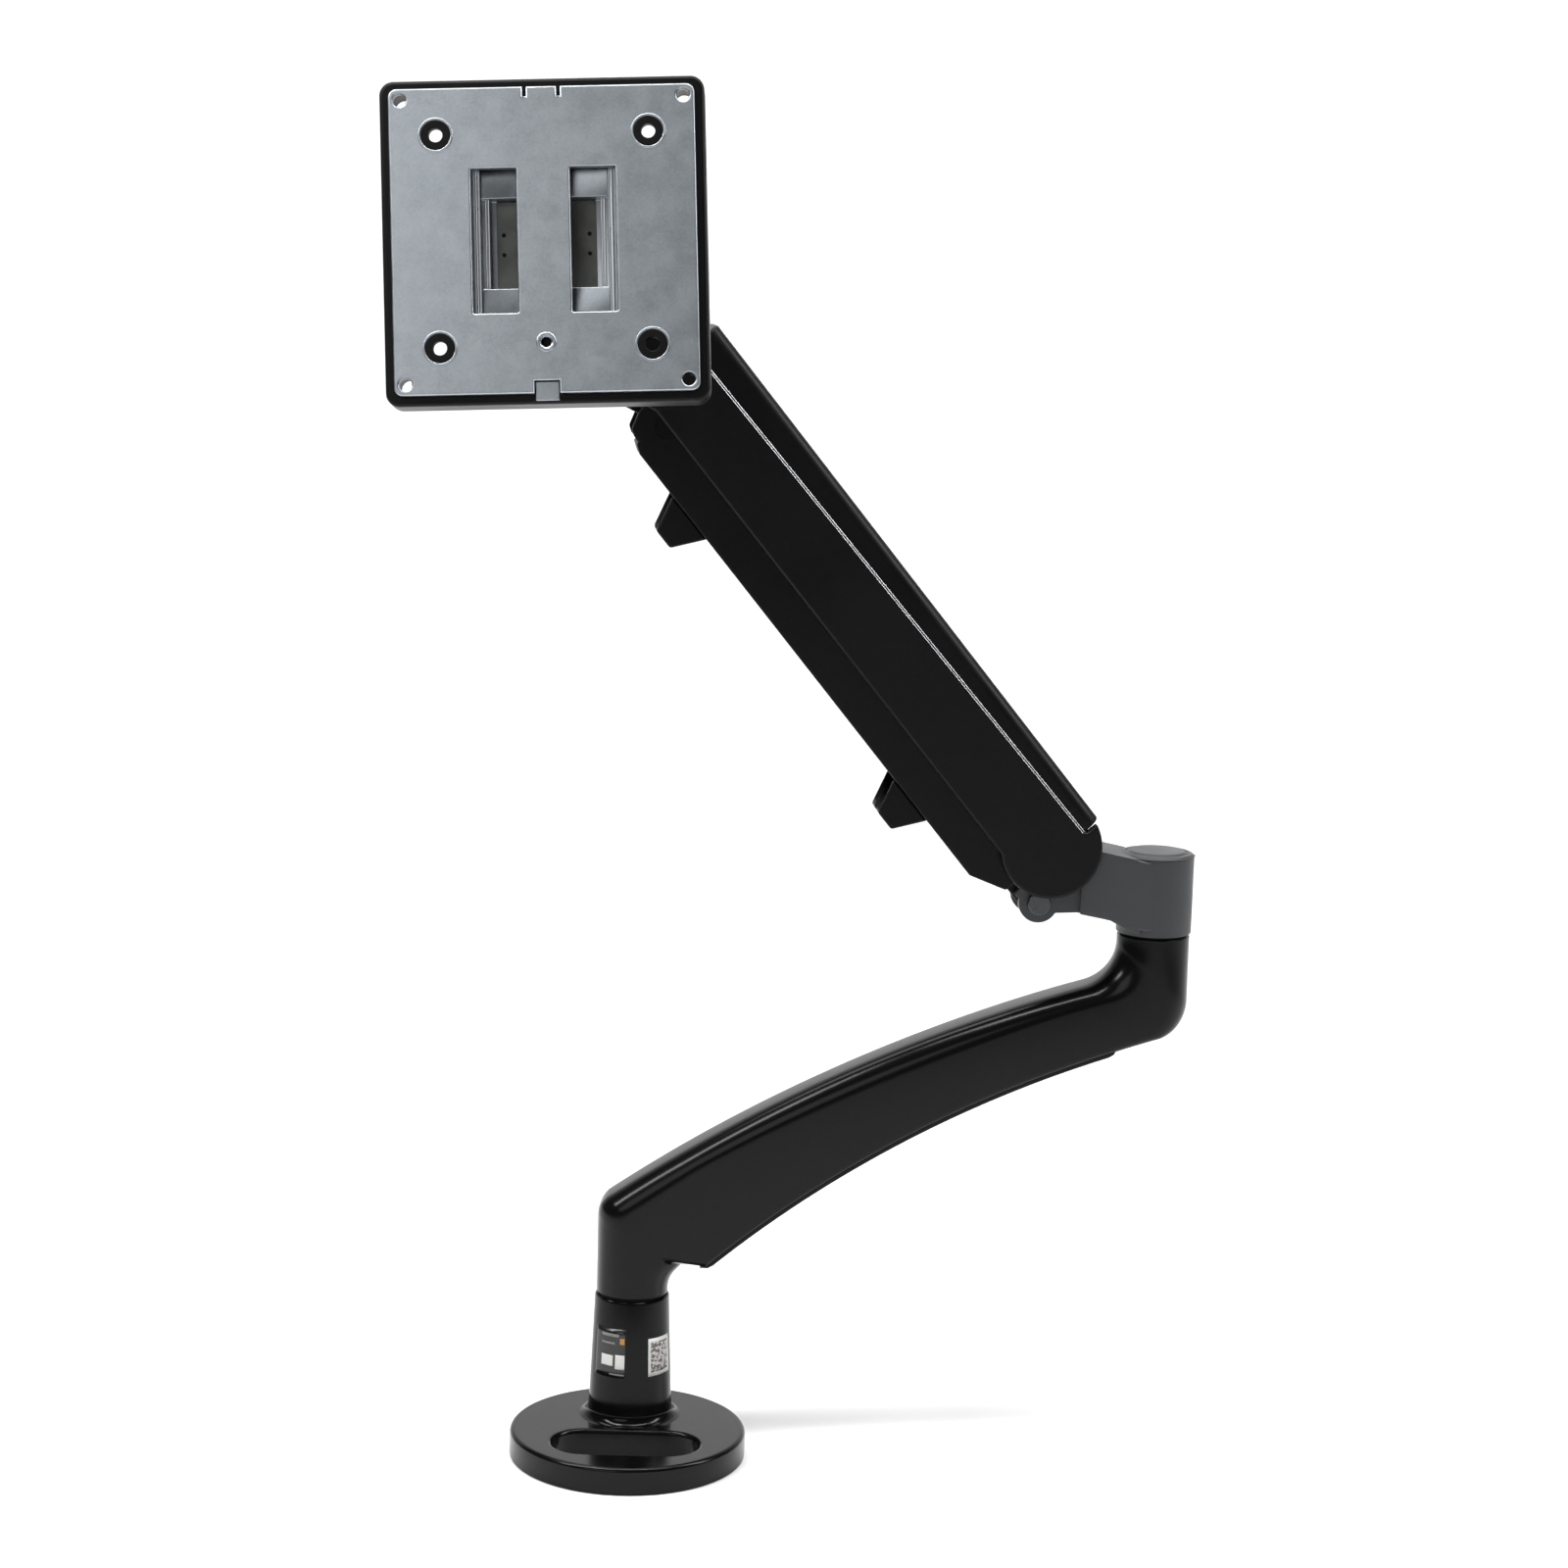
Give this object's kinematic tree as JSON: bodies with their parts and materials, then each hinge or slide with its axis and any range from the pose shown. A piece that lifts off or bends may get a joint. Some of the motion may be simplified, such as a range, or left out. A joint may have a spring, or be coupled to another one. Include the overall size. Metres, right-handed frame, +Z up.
{
  "type": "monitor arm",
  "caption": "Desk-mounted monitor arm: round base with cable slot, curved lower arm, gas-sprung parallel upper arm, tilting and turning square head plate.",
  "frame": {"origin": "the mouth of the desk bolt's thread in the base's underside, under the column's axis", "axes": "+Z up along the column, +X towards the elbow post at rest, -Y the side the head plate faces at rest"},
  "size_m": [0.3131, 0.1386, 0.5376],
  "materials": {
    "satin_black_casting": "satin black powder coat on cast aluminium",
    "gloss_black_column": "gloss black paint on turned steel",
    "grey_casting": "satin mid-grey powder coat on cast aluminium",
    "textured_channel": "fine textured black powder coat on pressed steel",
    "black_plastic": "moulded, fine spark-eroded texture",
    "black_ring": "moulded",
    "zinc_steel": "bright zinc plate on pressed steel",
    "plain_steel": "zinc plated",
    "rod_chrome": "ground and chromed",
    "cylinder_paint": "black lacquer",
    "bush_nylon": "natural nylon",
    "washer_nylon": "black nylon",
    "pad_foam": "thin foam rubber",
    "label_paper": "plain printed film, no lettering"
  },
  "bodies": {
    "base": {"base_disc": "satin_black_casting", "base_pad": "pad_foam", "base_column": "gloss_black_column", "column_screw_left": "plain_steel", "column_screw_right": "plain_steel", "base_shaft": "plain_steel", "base_washer": "washer_nylon", "front_label": "label_paper", "side_label": "label_paper"},
    "lower_arm": {"lower_arm": "satin_black_casting", "cable_cover": "black_plastic", "cover_screw_low": "plain_steel", "cover_screw_high": "plain_steel", "base_bush": "bush_nylon", "base_friction_screw": "plain_steel", "elbow_bush": "bush_nylon", "elbow_washer": "washer_nylon"},
    "knuckle": {"knuckle": "grey_casting", "hub_cap": "grey_casting", "elbow_shaft": "plain_steel", "elbow_friction_screw": "plain_steel", "lift_pin": "plain_steel", "link_pin": "plain_steel", "spring_anchor": "plain_steel", "anchor_pin": "plain_steel"},
    "upper_arm": {"upper_channel": "textured_channel", "top_cover": "black_plastic", "lift_pin_plug": "black_plastic", "head_pin_plug": "black_plastic", "spring_pin": "plain_steel"},
    "lower_link": {"lower_channel": "textured_channel", "clip_high": "black_plastic", "clip_low": "black_plastic"},
    "spring_cylinder": {"spring_cylinder": "cylinder_paint"},
    "spring_rod": {"spring_rod": "rod_chrome", "rod_fork": "cylinder_paint"},
    "head_bracket": {"head_bracket": "satin_black_casting", "head_pin": "plain_steel", "link_head_pin": "plain_steel", "head_bush": "bush_nylon", "head_foot_cap": "satin_black_casting", "head_washer": "washer_nylon"},
    "head_yoke": {"head_yoke": "satin_black_casting", "head_shaft": "plain_steel"},
    "head_tilt": {"tilt_bracket": "satin_black_casting", "tilt_bolt": "plain_steel", "tilt_nut": "plain_steel", "tilt_washer_left": "plain_steel", "tilt_washer_right": "plain_steel", "turn_screw": "plain_steel"},
    "head_plate": {"head_housing": "black_plastic", "head_plate": "zinc_steel", "ring_1": "black_ring", "ring_2": "black_ring", "ring_3": "black_ring", "ring_4": "black_ring", "tray_left": "zinc_steel", "tray_right": "zinc_steel", "release_latch": "zinc_steel"}
  },
  "joints": [
    {"name": "base_swivel", "type": "hinge", "parent": "base", "child": "lower_arm", "pos_m": [0, 0, 0.0624], "axis": [0, 0, 1], "range_deg": [-180, 180]},
    {"name": "elbow_swivel", "type": "hinge", "parent": "lower_arm", "child": "knuckle", "pos_m": [0.20386, 0.00747, 0.2144], "axis": [0, 0, 1], "range_deg": [-180, 180]},
    {"name": "lift", "type": "hinge", "parent": "knuckle", "child": "upper_arm", "pos_m": [0.15884, 0.00354, 0.2504], "axis": [-0.0872, 0.9962, 0], "range_deg": [-70, 5]},
    {"name": "link_follow", "type": "hinge", "parent": "knuckle", "child": "lower_link", "pos_m": [0.15555, 0.00325, 0.2274], "axis": [-0.0872, 0.9962, 0], "range_deg": [-70, 5]},
    {"name": "head_level", "type": "hinge", "parent": "upper_arm", "child": "head_bracket", "pos_m": [0.00951, -0.00953, 0.43321], "axis": [-0.0872, 0.9962, 0], "range_deg": [-5, 70]},
    {"name": "spring_swing", "type": "hinge", "parent": "upper_arm", "child": "spring_cylinder", "pos_m": [0.02767, -0.00794, 0.40625], "axis": [-0.0872, 0.9962, 0], "range_deg": [-2, 0.5]},
    {"name": "rod_slide", "type": "slide", "parent": "spring_cylinder", "child": "spring_rod", "axis": [0.5901, 0.0516, -0.8057], "range_m": [-0.0165, 0.0015]},
    {"name": "head_pan", "type": "hinge", "parent": "head_bracket", "child": "head_yoke", "pos_m": [-0.03432, -0.01336, 0.44921], "axis": [0, 0, 1], "range_deg": [-90, 25]},
    {"name": "head_tilt", "type": "hinge", "parent": "head_yoke", "child": "head_tilt", "pos_m": [-0.03432, -0.05206, 0.47151], "axis": [-1, 0, 0], "range_deg": [-25, 60]},
    {"name": "plate_turn", "type": "hinge", "parent": "head_tilt", "child": "head_plate", "pos_m": [-0.03432, -0.0995, 0.47885], "axis": [0, -0.9882, 0.153], "range_deg": [-95, 95]}
  ],
  "couplings": [
    {"joint": "link_follow", "follows": "lift", "ratio": 1},
    {"joint": "head_level", "follows": "lift", "ratio": -1},
    {"joint": "spring_swing", "follows": "lift", "ratio": 0.0216},
    {"joint": "rod_slide", "follows": "lift", "m_per_rad": 0.012685}
  ]
}
